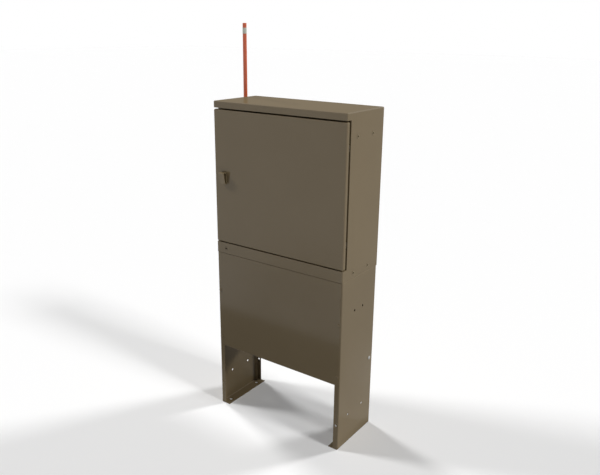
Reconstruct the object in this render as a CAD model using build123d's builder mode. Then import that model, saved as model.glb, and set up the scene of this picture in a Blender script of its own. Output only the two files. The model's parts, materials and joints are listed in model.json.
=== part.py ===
from build123d import *
import os

# Roadside utility cabinet: a sheet metal enclosure with one door, on a two-legged base,
# with a marker rod clamped to its left side.
# Millimetres. The origin is on the ground at the centre of the footprint,
# +X to the right, +Y to the back, +Z up, so the door looks along -Y.

# Sheet and folds
sheet = 2.0
bend = 4.0
weld_round = 3.0

# Cabinet
cab_w = 610.0
cab_d = 254.0
base_h = 711.0
box_h = 616.0

# Front of the enclosure
header_h = 26.0
sill_h = 45.0
door_gap_low = 3.0
door_gap_high = 5.5
door_depth = 16.0
door_clear = 11.0
door_fold = 4.5
door_corner = 5.0
door_lip = 12.0

# Seal between the door and the frame
seal_w = 12.0
seal_t = 10.0
seal_gap = 0.3
seal_edge = 15.0
seal_hinge_edge = 28.0
seal_corner = 10.0

# Enclosure back and floor
back_flange = 15.0
floor_flange = 12.0

# Cable grommets in the floor
grommet_x = 110.0
grommet_y = -10.0
grommet_bore_r = 25.0
grommet_wall = 6.0
grommet_rim = 5.0
grommet_rim_h = 4.0

# Mounting panel on studs from the back
panel_w = 520.0
panel_h = 500.0
panel_t = 2.5
panel_corner = 12.0
panel_rise = 50.0
panel_hole_inset = 25.0
stud_len = 30.0
stud_r = 6.0
stud_thread_r = 4.0

# Earth bar
earth_len = 220.0
earth_h = 25.0
earth_t = 6.0
earth_rise = 75.0
earth_x = -90.0
post_len = 20.0
post_r = 9.0
post_inset = 20.0
terminal_pitch = 25.0
terminal_count = 6

# Cable tie bar on the floor
tie_len = 400.0
tie_w = 30.0
tie_h = 42.0
tie_t = 3.0
tie_foot = 26.0
tie_bend = 5.0
tie_y = 60.0
tie_slots = 7
tie_slot_pitch = 50.0
tie_slot_len = 22.0
tie_slot_w = 7.0

# Concealed hinges
hinge_inset_x = 9.0
hinge_inset_y = 9.0
hinge_end = 92.0
pin_r = 2.5
run_fit = 0.05
knuckle_r = 4.5
arm_h = 24.0
arm_t = 3.0
arm_bend = 4.0
arm_foot = 19.0
arm_seal_gap = 2.0
lug_h = 10.0
lug_gap = 0.3
leaf_t = 2.0
leaf_w = 21.0
pin_head_h = 2.0
pin_head_r = 4.0
hinge_notch = 6.0

# Latch
latch_edge = 47.5
latch_z = 1036.0
handle_w = 27.0
handle_up = 15.0
handle_down = 31.0
handle_top_out = 22.0
handle_low_out = 12.0
handle_round = 2.0
handle_wall = 2.5
handle_pocket = 10.0
handle_gap = 0.3
bushing_r = 8.0
bushing_rim_r = 12.0
bushing_rim_t = 1.5
bushing_fit = 0.1
latch_shaft_r = 5.0
shaft_square = 7.0
square_fit = 0.05
shaft_stub_r = 3.0
cam_t = 3.0
cam_w = 18.0
cam_gap = 1.0
cam_behind = 0.7
latch_nut_r = 13.0
latch_nut_h = 4.0

# Door stiffener
stiff_gap = 20.0
stiff_w = 64.0
stiff_foot = 12.0
stiff_depth = 13.0
stiff_t = 1.5

# Threaded inserts, closed at the inner end
insert_rim_r = 7.0
insert_rim_t = 1.0
insert_r = 5.5
insert_len = 16.0
insert_bore_r = 4.0
insert_end = 2.0
insert_fit = 0.05
insert_pitch_y = 106.0
insert_low = 21.0
insert_pitch_z = 508.0
sill_insert_low = 22.0

# Base
flange_w = 22.0
foot_w = 44.0
top_flange_w = 26.0
skirt_z = 285.0
skirt_top_gap = 1.5
skirt_return = 15.0
skirt_notch = 2.0
anchor_r = 6.5
anchor_pitch_y = 180.0
side_hole_r = 4.75
low_hole_z = 127.0
low_hole_pitch = 106.0
high_hole_z = 572.0
high_hole_pitch = 60.0
flange_hole_r = 4.5
flange_hole_z = 108.0
skirt_screw_z = 324.0
skirt_screw_pitch = 216.0

# Screws and bolts
hole_fit = 0.1
m5_r = 2.5
m5_head_r = 4.5
m5_head_h = 2.5
m6_r = 3.0
m6_head_r = 6.0
m6_head_h = 3.0
m6_nut_r = 5.8
m6_nut_h = 5.0
m8_r = 4.0
m8_hex_r = 7.5
m8_hex_h = 5.3
m8_nut_h = 6.5
m10_r = 5.0
m10_hex_r = 9.2
m10_hex_h = 6.4
m10_nut_h = 8.0
thread_past = 4.0
base_bolt_inset = 14.0
base_bolt_y = 80.0
earth_bolt_z = 315.0
earth_bolt_y = 100.0

# Marker rod
rod_r = 8.0
rod_above = 287.5
rod_below = 11.0
rod_y = 81.0
rod_gap = 0.1
rod_chamfer = 1.0
band_t = 0.4
band_h = 22.5
band_below_tip = 18.0
strap_t = 3.0
strap_h = 25.0
strap_end = 15.0
clamp_t = 2.0
clamp_h = 20.0
clamp_foot = 10.0
clamp_foot_round = 2.0

# Places worked out from the sizes above
front_y = -cab_d / 2
back_y = cab_d / 2
side_x = cab_w / 2
inner_x = side_x - sheet
top_z = base_h + box_h
sill_z = base_h + sill_h
header_z = top_z - header_h
door_low = sill_z + door_gap_low
door_high = header_z - door_gap_high
frame_y = front_y + door_depth + door_clear
door_in_y = front_y + sheet
floor_top = base_h + sheet

# The seal's middle line is also the middle of the frame's raised lip.
seal_left = -side_x + seal_edge + seal_w / 2
seal_right = side_x - seal_hinge_edge - seal_w / 2
seal_low = door_low + seal_edge + seal_w / 2
seal_high = door_high - seal_edge - seal_w / 2
seal_mid = ((seal_left + seal_right) / 2, (seal_low + seal_high) / 2)
seal_len_x = seal_right - seal_left
seal_len_z = seal_high - seal_low
lip_front_y = door_in_y + seal_t + seal_gap

pin_x = side_x - hinge_inset_x
pin_y = front_y + hinge_inset_y
leaf_h = 2 * lug_h + arm_h + 2 * lug_gap
hinge_zs = {"lower": door_low + hinge_end, "upper": door_high - hinge_end}
arm_web_x = seal_right + seal_w / 2 + arm_seal_gap + arm_t / 2
arm_foot_x = arm_web_x + arm_foot
hinge_screw_x = arm_foot_x - m5_head_r - 1
hinge_screw_points = [(hinge_screw_x, z + dz) for z in hinge_zs.values() for dz in (-arm_h / 4, arm_h / 4)]

latch_x = -side_x + latch_edge
side_points = [
    (y, base_h + insert_low + z)
    for z in (0, insert_pitch_z)
    for y in (-insert_pitch_y / 2, insert_pitch_y / 2)
]
sill_point = (latch_x, base_h + sill_insert_low)

panel_y = back_y - sheet - stud_len
panel_mid_z = base_h + panel_rise + panel_h / 2
panel_points = [
    (x, panel_mid_z + z)
    for x in (-panel_w / 2 + panel_hole_inset, panel_w / 2 - panel_hole_inset)
    for z in (-panel_h / 2 + panel_hole_inset, panel_h / 2 - panel_hole_inset)
]
panel_front_y = panel_y - panel_t

base_bolt_points = [(x, y) for x in (-side_x + base_bolt_inset, side_x - base_bolt_inset)
                    for y in (-base_bolt_y, base_bolt_y)]
skirt_points = [(x, z) for x in (-side_x + flange_w / 2, side_x - flange_w / 2)
                for z in (skirt_screw_z, skirt_screw_z + skirt_screw_pitch)]

# Planes that the fasteners start from; a plane on XZ looks to the front.
front_plane = Plane.XZ.offset(-front_y)
rear_plane = Plane.XZ.offset(-back_y)
right_plane = Plane.YZ.offset(side_x)
left_plane = Plane.YZ.offset(-side_x)

os.makedirs("parts", exist_ok=True)


def save(builder, name):
    """Label a finished piece and write it as one STEP file."""
    builder.part.label = name
    export_step(builder.part, f"parts/{name}.step")


def drill(plane, points, radius, depth):
    """Cut round holes through the part that is being built, both ways from the plane."""
    with BuildSketch(plane) as holes:
        with Locations(*points):
            Circle(radius)
    extrude(holes.sketch, amount=depth, both=True, mode=Mode.SUBTRACT)


def screws(plane, points, way, head_r, head_h, shank_r, length, hexagon=False):
    """Screws with heads on the outer side of a plane; way is the outer side's sign."""
    with BuildPart() as group:
        with BuildSketch(plane):
            with Locations(*points):
                if hexagon:
                    RegularPolygon(head_r, 6)
                else:
                    Circle(head_r)
        extrude(amount=way * head_h)
        if not hexagon:
            rims = group.edges().filter_by(GeomType.CIRCLE).group_by(Axis((0, 0, 0), plane.z_dir))
            fillet(rims[-1] if way > 0 else rims[0], radius=0.6 * head_h)
        with BuildSketch(plane):
            with Locations(*points):
                Circle(shank_r)
        extrude(amount=-way * length)
    return group


def nuts(plane, points, way, radius, height, bore_r):
    """Hexagon nuts that stand on the outer side of a plane."""
    with BuildPart() as group:
        with BuildSketch(plane):
            with Locations(*points):
                RegularPolygon(radius, 6)
                Circle(bore_r, mode=Mode.SUBTRACT)
        extrude(amount=way * height)
    return group


def blind_inserts(plane, points, way):
    """Threaded inserts with a thin rim outside the wall and a closed barrel behind it."""
    with BuildPart() as group:
        with BuildSketch(plane):
            with Locations(*points):
                Circle(insert_rim_r)
        extrude(amount=way * insert_rim_t)
        with BuildSketch(plane):
            with Locations(*points):
                Circle(insert_r)
        extrude(amount=-way * insert_len)
        with BuildSketch(plane.offset(way * insert_rim_t)):
            with Locations(*points):
                Circle(insert_bore_r)
        extrude(amount=-way * (insert_rim_t + insert_len - insert_end), mode=Mode.SUBTRACT)
    return group


# Enclosure shell: top, sides, header, sill and door frame, welded into one piece
with BuildPart() as enclosure_shell:
    with BuildSketch(Plane.XY.offset(base_h)):
        Rectangle(cab_w, cab_d)
    extrude(amount=box_h)
    front_corners = enclosure_shell.edges().filter_by(Axis.Z).group_by(Axis.Y)[0]
    top_folds = enclosure_shell.faces().sort_by(Axis.Z)[-1].edges().sort_by(Axis.Y)[:-1]
    fillet(front_corners + top_folds, radius=bend)
    open_faces = [enclosure_shell.faces().sort_by(Axis.Z)[0], enclosure_shell.faces().sort_by(Axis.Y)[-1]]
    offset(amount=-sheet, openings=open_faces)
    # The door's recess runs out through both sides.
    with BuildSketch(Plane.XY.offset(sill_z)):
        with Locations((0, front_y)):
            Rectangle(cab_w, 2 * (frame_y - front_y))
    extrude(amount=header_z - sill_z, mode=Mode.SUBTRACT)
    # The header and the sill are folded back to the frame.
    return_mid_y = (door_in_y + frame_y + sheet) / 2
    return_depth = frame_y + sheet - door_in_y
    for z in (header_z, sill_z - sheet):
        with BuildSketch(Plane.XY.offset(z)):
            with Locations((0, return_mid_y)):
                Rectangle(2 * inner_x, return_depth)
        extrude(amount=sheet)
    # Frame flange with its opening, and the raised lip that meets the seal
    with BuildSketch(Plane.XZ.offset(-frame_y)):
        with Locations((0, (sill_z + header_z) / 2)):
            Rectangle(2 * inner_x, header_z - sill_z + 2 * sheet)
        with Locations(seal_mid):
            RectangleRounded(seal_len_x - sheet, seal_len_z - sheet, seal_corner - sheet / 2, mode=Mode.SUBTRACT)
    extrude(amount=-sheet)
    with BuildSketch(Plane.XZ.offset(-frame_y)):
        with Locations(seal_mid):
            RectangleRounded(seal_len_x + sheet, seal_len_z + sheet, seal_corner + sheet / 2)
            RectangleRounded(seal_len_x - sheet, seal_len_z - sheet, seal_corner - sheet / 2, mode=Mode.SUBTRACT)
    extrude(amount=frame_y - lip_front_y)
    for plane in (right_plane, left_plane):
        drill(plane, side_points, insert_r + insert_fit, 2 * sheet)
    drill(front_plane, [sill_point], insert_r + insert_fit, 2 * sheet)
    drill(Plane.XZ.offset(-frame_y), hinge_screw_points, m5_r + hole_fit, 2 * sheet)
save(enclosure_shell, "enclosure_shell")

# Enclosure back: a pan whose folded edges stand inside the shell
with BuildPart() as enclosure_back:
    with BuildSketch(Plane.XZ.offset(-back_y)):
        with Locations((0, base_h + (box_h - sheet) / 2)):
            Rectangle(2 * inner_x, box_h - sheet)
    extrude(amount=back_flange)
    pan_corners = enclosure_back.edges().filter_by(Axis.Y).group_by(Axis.Z)[-1]
    fillet(pan_corners, radius=weld_round)
    pan_folds = enclosure_back.faces().sort_by(Axis.Y)[-1].edges().sort_by(Axis.Z)[1:]
    fillet(pan_folds, radius=weld_round - 0.5)
    open_faces = [enclosure_back.faces().sort_by(Axis.Y)[0], enclosure_back.faces().sort_by(Axis.Z)[0]]
    offset(amount=-sheet, openings=open_faces)
    # The side folds stop above the floor's own folds.
    with BuildSketch(Plane.XY.offset(base_h)):
        with Locations((0, back_y - sheet - back_flange)):
            Rectangle(cab_w, 2 * back_flange)
    extrude(amount=floor_flange + sheet, mode=Mode.SUBTRACT)
    drill(Plane.XZ.offset(-(back_y - sheet)), panel_points, stud_thread_r, 2 * sheet)
save(enclosure_back, "enclosure_back")

# Enclosure floor: a tray with folded edges, two cable holes and four bolt holes
with BuildPart() as enclosure_floor:
    with BuildSketch(Plane.XY.offset(base_h)):
        Rectangle(2 * inner_x, cab_d - 2 * sheet)
    extrude(amount=floor_flange)
    fillet(enclosure_floor.edges().filter_by(Axis.Z), radius=weld_round)
    fillet(enclosure_floor.faces().sort_by(Axis.Z)[0].edges(), radius=weld_round - 0.5)
    offset(amount=-sheet, openings=enclosure_floor.faces().sort_by(Axis.Z)[-1])
    grommet_points = [(-grommet_x, grommet_y), (grommet_x, grommet_y)]
    tie_foot_x = tie_len / 2 + tie_foot / 2
    tie_points = [(-tie_foot_x, tie_y), (tie_foot_x, tie_y)]
    drill(Plane.XY.offset(base_h), grommet_points, grommet_bore_r + grommet_wall, 2 * sheet)
    drill(Plane.XY.offset(base_h), base_bolt_points, m10_r + hole_fit, 2 * sheet)
    drill(Plane.XY.offset(base_h), tie_points, m6_r + hole_fit, 2 * sheet)
save(enclosure_floor, "enclosure_floor")

# Cable grommets: rubber rings with a groove for the floor's edge
with BuildPart() as floor_grommets:
    groove_r = grommet_bore_r + grommet_wall
    rim_r = groove_r + grommet_rim
    for x, y in grommet_points:
        with BuildSketch(Plane.XZ.offset(-y)):
            with BuildLine():
                Polyline(
                    (x + grommet_bore_r, base_h - grommet_rim_h),
                    (x + rim_r - 2, base_h - grommet_rim_h),
                    (x + rim_r, base_h),
                    (x + groove_r, base_h),
                    (x + groove_r, floor_top),
                    (x + rim_r, floor_top),
                    (x + rim_r - 2, floor_top + grommet_rim_h),
                    (x + grommet_bore_r, floor_top + grommet_rim_h),
                    close=True,
                )
            make_face()
        revolve(axis=Axis((x, y, 0), (0, 0, 1)))
save(floor_grommets, "floor_grommets")

# Cable tie bar: a strip folded into a bridge, with slots for the ties
with BuildPart() as tie_bar:
    low_z = floor_top + tie_t / 2
    high_z = floor_top + tie_h - tie_t / 2
    leg_x = tie_len / 2 - tie_t / 2
    end_x = tie_len / 2 + tie_foot
    with BuildSketch(Plane.XZ.offset(-(tie_y - tie_w / 2))):
        with BuildLine():
            FilletPolyline(
                (-end_x, low_z), (-leg_x, low_z), (-leg_x, high_z),
                (leg_x, high_z), (leg_x, low_z), (end_x, low_z),
                radius=tie_bend,
            )
        trace(line_width=tie_t)
    extrude(amount=-tie_w)
    with BuildSketch(Plane.XY.offset(high_z)):
        with Locations((0, tie_y)):
            with GridLocations(tie_slot_pitch, 1, tie_slots, 1):
                SlotOverall(tie_slot_len, tie_slot_w)
    extrude(amount=2 * tie_t, both=True, mode=Mode.SUBTRACT)
    drill(Plane.XY.offset(floor_top), tie_points, m6_r + hole_fit, 2 * tie_t)
save(tie_bar, "tie_bar")

tie_bar_screws = screws(
    Plane.XY.offset(floor_top + tie_t), tie_points, 1, m6_head_r, m6_head_h, m6_r, tie_t + sheet + thread_past
)
save(tie_bar_screws, "tie_bar_screws")

# Panel studs: collars welded to the back, with a thread for the panel
with BuildPart() as panel_studs:
    with BuildSketch(Plane.XZ.offset(-(back_y - sheet))):
        with Locations(*panel_points):
            Circle(stud_r)
    extrude(amount=stud_len)
    with BuildSketch(Plane.XZ.offset(-panel_y)):
        with Locations(*panel_points):
            Circle(stud_thread_r)
    extrude(amount=panel_t + m8_nut_h + thread_past)
save(panel_studs, "panel_studs")

with BuildPart() as mounting_panel:
    with BuildSketch(Plane.XZ.offset(-panel_y)):
        with Locations((0, panel_mid_z)):
            RectangleRounded(panel_w, panel_h, panel_corner)
        with Locations(*panel_points):
            Circle(stud_thread_r + hole_fit, mode=Mode.SUBTRACT)
    extrude(amount=panel_t)
    post_points = [
        (earth_x + x, base_h + earth_rise) for x in (-earth_len / 2 + post_inset, earth_len / 2 - post_inset)
    ]
    drill(Plane.XZ.offset(-panel_y), post_points, m5_r + hole_fit, 2 * panel_t)
save(mounting_panel, "mounting_panel")

panel_nuts = nuts(Plane.XZ.offset(-panel_front_y), panel_points, 1, m8_hex_r, m8_nut_h, m8_r + hole_fit)
save(panel_nuts, "panel_nuts")

# Earth bar on two insulating posts, with a row of terminal screws
post_front_y = panel_front_y - post_len
earth_front_y = post_front_y - earth_t
terminal_points = [
    (earth_x + (i - (terminal_count - 1) / 2) * terminal_pitch, base_h + earth_rise) for i in range(terminal_count)
]
with BuildPart() as earth_posts:
    with BuildSketch(Plane.XZ.offset(-panel_front_y)):
        with Locations(*post_points):
            RegularPolygon(post_r, 6)
            Circle(m5_r + hole_fit, mode=Mode.SUBTRACT)
    extrude(amount=post_len)
save(earth_posts, "earth_posts")

with BuildPart() as earth_bar:
    with BuildSketch(Plane.XZ.offset(-post_front_y)):
        with Locations((earth_x, base_h + earth_rise)):
            RectangleRounded(earth_len, earth_h, 2)
        with Locations(*post_points, *terminal_points):
            Circle(m5_r + hole_fit, mode=Mode.SUBTRACT)
    extrude(amount=earth_t)
save(earth_bar, "earth_bar")

earth_bar_screws = screws(
    Plane.XZ.offset(-earth_front_y), post_points, 1, m5_head_r, m5_head_h, m5_r, earth_t + post_len + panel_t
)
save(earth_bar_screws, "earth_bar_screws")
terminal_screws = screws(
    Plane.XZ.offset(-earth_front_y), terminal_points, 1, m5_head_r, m5_head_h, m5_r, earth_t + thread_past
)
save(terminal_screws, "terminal_screws")

# Threaded inserts in both sides and in the sill
side_inserts_right = blind_inserts(right_plane, side_points, 1)
save(side_inserts_right, "side_inserts_right")
side_inserts_left = blind_inserts(left_plane, side_points, -1)
save(side_inserts_left, "side_inserts_left")
sill_insert = blind_inserts(front_plane, [sill_point], 1)
save(sill_insert, "sill_insert")

# Door: a pan with its edges folded back and in, notched for the hinges
with BuildPart() as door_shell:
    door_mid_z = (door_low + door_high) / 2
    with BuildSketch(front_plane):
        with Locations((0, door_mid_z)):
            Rectangle(cab_w, door_high - door_low)
    extrude(amount=-door_depth)
    fillet(door_shell.edges().filter_by(Axis.Y), radius=door_corner)
    fillet(door_shell.faces().sort_by(Axis.Y)[0].edges(), radius=door_fold)
    offset(amount=-sheet, openings=door_shell.faces().sort_by(Axis.Y)[-1])
    with BuildSketch(Plane.XZ.offset(-(front_y + door_depth - sheet))):
        with Locations((0, door_mid_z)):
            RectangleRounded(cab_w - sheet, door_high - door_low - sheet, door_corner - sheet / 2)
            RectangleRounded(
                cab_w - 2 * (sheet + door_lip), door_high - door_low - 2 * (sheet + door_lip), door_corner,
                mode=Mode.SUBTRACT,
            )
    extrude(amount=-sheet)
    for z in hinge_zs.values():
        with BuildSketch(Plane.XY.offset(z - leaf_h / 2 - hinge_notch)):
            with Locations((inner_x - door_lip, front_y + door_depth - sheet / 2)):
                Rectangle(2 * door_lip, 2 * sheet)
        extrude(amount=leaf_h + 2 * hinge_notch, mode=Mode.SUBTRACT)
    drill(front_plane, [(latch_x, latch_z)], bushing_r + bushing_fit, 2 * sheet)
save(door_shell, "door_shell")

# Door stiffener: a folded hat section down the middle of the door
with BuildPart() as door_stiffener:
    hat_y = door_in_y + stiff_t / 2
    hat_top_y = door_in_y + stiff_depth - stiff_t / 2
    hat_x = stiff_w / 2 - stiff_foot
    stiff_len = seal_len_z - seal_w - 2 * stiff_gap
    with BuildSketch(Plane.XY.offset(door_mid_z - stiff_len / 2)):
        with BuildLine():
            FilletPolyline(
                (-stiff_w / 2, hat_y), (-hat_x, hat_y), (-hat_x, hat_top_y),
                (hat_x, hat_top_y), (hat_x, hat_y), (stiff_w / 2, hat_y),
                radius=2 * stiff_t,
            )
        trace(line_width=stiff_t)
    extrude(amount=stiff_len)
save(door_stiffener, "door_stiffener")

with BuildPart() as door_gasket:
    with BuildSketch(Plane.XZ.offset(-door_in_y)):
        with Locations(seal_mid):
            RectangleRounded(seal_len_x + seal_w, seal_len_z + seal_w, seal_corner + seal_w / 2)
            RectangleRounded(seal_len_x - seal_w, seal_len_z - seal_w, seal_corner - seal_w / 2, mode=Mode.SUBTRACT)
    extrude(amount=-seal_t)
save(door_gasket, "door_gasket")

# Concealed hinges: an arm that curves round the door's folded edge, a leaf on the door and a pin
for place, z in hinge_zs.items():
    with BuildPart() as hinge_arm:
        foot_y = frame_y - arm_t / 2
        with BuildSketch(Plane.XY.offset(z - arm_h / 2)):
            with BuildLine():
                FilletPolyline(
                    (arm_foot_x, foot_y), (arm_web_x, foot_y), (arm_web_x, pin_y), (pin_x, pin_y), radius=arm_bend
                )
            trace(line_width=arm_t)
            with Locations((pin_x, pin_y)):
                Circle(knuckle_r)
                Circle(pin_r + run_fit, mode=Mode.SUBTRACT)
        extrude(amount=arm_h)
        arm_points = [point for point in hinge_screw_points if abs(point[1] - z) < arm_h / 2]
        drill(Plane.XZ.offset(-frame_y), arm_points, m5_r + hole_fit, 2 * arm_t)
    save(hinge_arm, f"hinge_arm_{place}")

    with BuildPart() as hinge_leaf:
        with BuildSketch(Plane.XY.offset(z - leaf_h / 2)):
            with Locations((pin_x, pin_y)):
                Circle(knuckle_r)
            with Locations((pin_x, (pin_y + door_in_y) / 2)):
                Rectangle(2 * knuckle_r, pin_y - door_in_y)
            with Locations((pin_x + knuckle_r - leaf_w / 2, door_in_y + leaf_t / 2)):
                Rectangle(leaf_w, leaf_t)
            with Locations((pin_x, pin_y)):
                Circle(pin_r + run_fit, mode=Mode.SUBTRACT)
        extrude(amount=leaf_h)
        # Room for the arm's knuckle between the two lugs
        with BuildSketch(Plane.XY.offset(z - arm_h / 2 - lug_gap)):
            with Locations((pin_x, door_in_y + leaf_t + leaf_w)):
                Rectangle(2 * leaf_w, 2 * leaf_w)
        extrude(amount=arm_h + 2 * lug_gap, mode=Mode.SUBTRACT)
    save(hinge_leaf, f"hinge_leaf_{place}")

    with BuildPart() as hinge_pin:
        with BuildSketch(Plane.XY.offset(z - leaf_h / 2)):
            with Locations((pin_x, pin_y)):
                Circle(pin_r)
        extrude(amount=leaf_h)
        with BuildSketch(Plane.XY.offset(z + leaf_h / 2)):
            with Locations((pin_x, pin_y)):
                Circle(pin_head_r)
        extrude(amount=pin_head_h)
    save(hinge_pin, f"hinge_pin_{place}")

hinge_screws = screws(
    Plane.XZ.offset(-(frame_y - arm_t)), hinge_screw_points, 1, m5_head_r, m5_head_h, m5_r,
    arm_t + sheet + thread_past,
)
save(hinge_screws, "hinge_screws")

# Latch handle: a hollow wedge that tapers towards its foot, with its shaft behind it
cam_front_y = frame_y + sheet + cam_behind
cam_back_y = cam_front_y + cam_t
handle_back_y = front_y - bushing_rim_t - handle_gap
handle_profile = [
    (handle_back_y, latch_z + handle_up),
    (front_y - handle_top_out, latch_z + handle_up),
    (front_y - handle_low_out, latch_z - handle_down),
    (handle_back_y, latch_z - handle_down),
]
with BuildPart() as latch_handle:
    with BuildSketch(Plane.YZ.offset(latch_x - handle_w / 2)):
        with BuildLine():
            Polyline(handle_profile, close=True)
        make_face()
    extrude(amount=handle_w)
    outer_edges = latch_handle.edges().filter_by(lambda edge: edge.center().Y < handle_back_y - 1)
    fillet(outer_edges, radius=handle_round)
    # Finger pocket, open to the side away from the door's edge
    with BuildSketch(Plane.YZ.offset(latch_x + handle_w / 2)):
        with BuildLine():
            Polyline(handle_profile, close=True)
        make_face()
        offset(amount=-handle_wall, kind=Kind.INTERSECTION, mode=Mode.REPLACE)
    extrude(amount=-handle_pocket, mode=Mode.SUBTRACT)
    with BuildSketch(Plane.XZ.offset(-handle_back_y)):
        with Locations((latch_x, latch_z)):
            Circle(latch_shaft_r)
    extrude(amount=handle_back_y - cam_front_y)
    with BuildSketch(Plane.XZ.offset(-cam_front_y)):
        with Locations((latch_x, latch_z)):
            Rectangle(shaft_square, shaft_square)
    extrude(amount=-cam_t)
    with BuildSketch(Plane.XZ.offset(-cam_back_y)):
        with Locations((latch_x, latch_z)):
            Circle(shaft_stub_r)
    extrude(amount=-(m6_nut_h + 1))
save(latch_handle, "latch_handle")

# Bushing through the door, held by its rim in front and its nut behind
with BuildPart() as latch_bushing:
    with BuildSketch(front_plane):
        with Locations((latch_x, latch_z)):
            Circle(bushing_rim_r)
    extrude(amount=bushing_rim_t)
    with BuildSketch(front_plane):
        with Locations((latch_x, latch_z)):
            Circle(bushing_r)
    extrude(amount=-(sheet + latch_nut_h + thread_past))
    with BuildSketch(front_plane):
        with Locations((latch_x, latch_z)):
            Circle(latch_shaft_r + run_fit)
    extrude(amount=2 * door_depth, both=True, mode=Mode.SUBTRACT)
save(latch_bushing, "latch_bushing")

latch_nut = nuts(
    Plane.XZ.offset(-door_in_y), [(latch_x, latch_z)], -1, latch_nut_r, latch_nut_h, bushing_r + bushing_fit
)
save(latch_nut, "latch_nut")

# Latch cam: its nose stops just short of the frame's opening
with BuildPart() as latch_cam:
    cam_nose_x = seal_left + sheet / 2 + cam_gap
    with BuildSketch(Plane.XZ.offset(-cam_front_y)):
        with Locations((latch_x, latch_z)):
            Circle(cam_w / 2)
        with Locations(((latch_x + cam_nose_x) / 2, latch_z)):
            Rectangle(latch_x - cam_nose_x, cam_w)
        with Locations((latch_x, latch_z)):
            Rectangle(shaft_square + 2 * square_fit, shaft_square + 2 * square_fit, mode=Mode.SUBTRACT)
    extrude(amount=-cam_t)
save(latch_cam, "latch_cam")

cam_nut = nuts(
    Plane.XZ.offset(-cam_back_y), [(latch_x, latch_z)], -1, m6_nut_r, m6_nut_h, shaft_stub_r + run_fit
)
save(cam_nut, "cam_nut")

# Legs: channels with flanges at the front and back, a foot and a top flange, folded from one sheet
with BuildPart() as leg_right:
    with BuildSketch(Plane.XY):
        with Locations((side_x - foot_w / 2, 0)):
            Rectangle(foot_w, cab_d - 2 * sheet)
    extrude(amount=base_h)
    fillet(leg_right.faces().sort_by(Axis.X)[-1].edges(), radius=bend)
    offset(amount=-sheet, openings=leg_right.faces().sort_by(Axis.X)[0])
    with BuildSketch(Plane.XY.offset(sheet)):
        with Locations((side_x - foot_w, 0)):
            Rectangle(2 * (foot_w - flange_w), 2 * cab_d)
    extrude(amount=base_h - 2 * sheet, mode=Mode.SUBTRACT)
    with BuildSketch(Plane.XY.offset(base_h - sheet)):
        with Locations((side_x - foot_w, 0)):
            Rectangle(2 * (foot_w - top_flange_w), 2 * cab_d)
    extrude(amount=2 * sheet, mode=Mode.SUBTRACT)
    anchor_points = [(side_x - foot_w / 2, y) for y in (-anchor_pitch_y / 2, anchor_pitch_y / 2)]
    drill(Plane.XY, anchor_points, anchor_r, 2 * sheet)
    bolt_points = [point for point in base_bolt_points if point[0] > 0]
    drill(Plane.XY.offset(base_h), bolt_points, m10_r + hole_fit, 2 * sheet)
    side_holes = [(y, low_hole_z) for y in (-low_hole_pitch / 2, low_hole_pitch / 2)]
    side_holes += [(y, high_hole_z) for y in (-high_hole_pitch / 2, high_hole_pitch / 2)]
    drill(right_plane, side_holes, side_hole_r, 2 * sheet)
    flange_x = side_x - flange_w / 2
    flange_screw_points = [point for point in skirt_points if point[0] > 0]
    for plane in (front_plane, rear_plane):
        drill(plane, [(flange_x, flange_hole_z)], flange_hole_r, 2 * sheet)
        drill(plane, flange_screw_points, m6_r + hole_fit, 2 * sheet)

with BuildPart() as leg_left:
    mirror(leg_right.part, about=Plane.YZ)
save(leg_left, "leg_left")

# Only the right leg has the earthing bolt's hole.
with leg_right:
    drill(right_plane, [(earth_bolt_y, earth_bolt_z)], m8_r + hole_fit, 2 * sheet)
save(leg_right, "leg_right")

# Skirt panels in front of the legs' flanges, each with its lower edge folded back between them
for name, sign in (("skirt_front", 1), ("skirt_rear", -1)):
    with BuildPart() as skirt:
        face_y = sign * (front_y + sheet / 2)
        lower_z = skirt_z + sheet / 2
        with BuildSketch(Plane.YZ):
            with BuildLine():
                FilletPolyline(
                    (face_y, base_h - skirt_top_gap), (face_y, lower_z),
                    (face_y + sign * (skirt_return - sheet / 2), lower_z),
                    radius=bend - sheet / 2,
                )
            trace(line_width=sheet)
        extrude(amount=side_x - bend, both=True)
        # The fold stops short of the flanges.
        with BuildSketch(Plane.XY.offset(skirt_z)):
            for x in (-side_x, side_x):
                with Locations((x, face_y)):
                    Rectangle(2 * (flange_w + skirt_notch), 2 * skirt_return)
        extrude(amount=bend, mode=Mode.SUBTRACT)
        drill(Plane.XZ.offset(-face_y), skirt_points, m6_r + hole_fit, 2 * sheet)
    save(skirt, name)

front_screws = screws(front_plane, skirt_points, 1, m6_head_r, m6_head_h, m6_r, 2 * sheet + m6_nut_h + 1)
save(front_screws, "skirt_screws_front")
rear_screws = screws(rear_plane, skirt_points, -1, m6_head_r, m6_head_h, m6_r, 2 * sheet + m6_nut_h + 1)
save(rear_screws, "skirt_screws_rear")
front_nuts = nuts(
    Plane.XZ.offset(-(front_y + 2 * sheet)), skirt_points, -1, m6_nut_r, m6_nut_h, m6_r + hole_fit
)
save(front_nuts, "skirt_nuts_front")
rear_nuts = nuts(Plane.XZ.offset(-(back_y - 2 * sheet)), skirt_points, 1, m6_nut_r, m6_nut_h, m6_r + hole_fit)
save(rear_nuts, "skirt_nuts_rear")

# Bolts that hold the enclosure's floor down on the legs
base_bolts = screws(
    Plane.XY.offset(floor_top), base_bolt_points, 1, m10_hex_r, m10_hex_h, m10_r,
    2 * sheet + m10_nut_h + thread_past, hexagon=True,
)
save(base_bolts, "base_bolts")
base_nuts = nuts(Plane.XY.offset(base_h - sheet), base_bolt_points, -1, m10_hex_r, m10_nut_h, m10_r + hole_fit)
save(base_nuts, "base_nuts")

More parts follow.
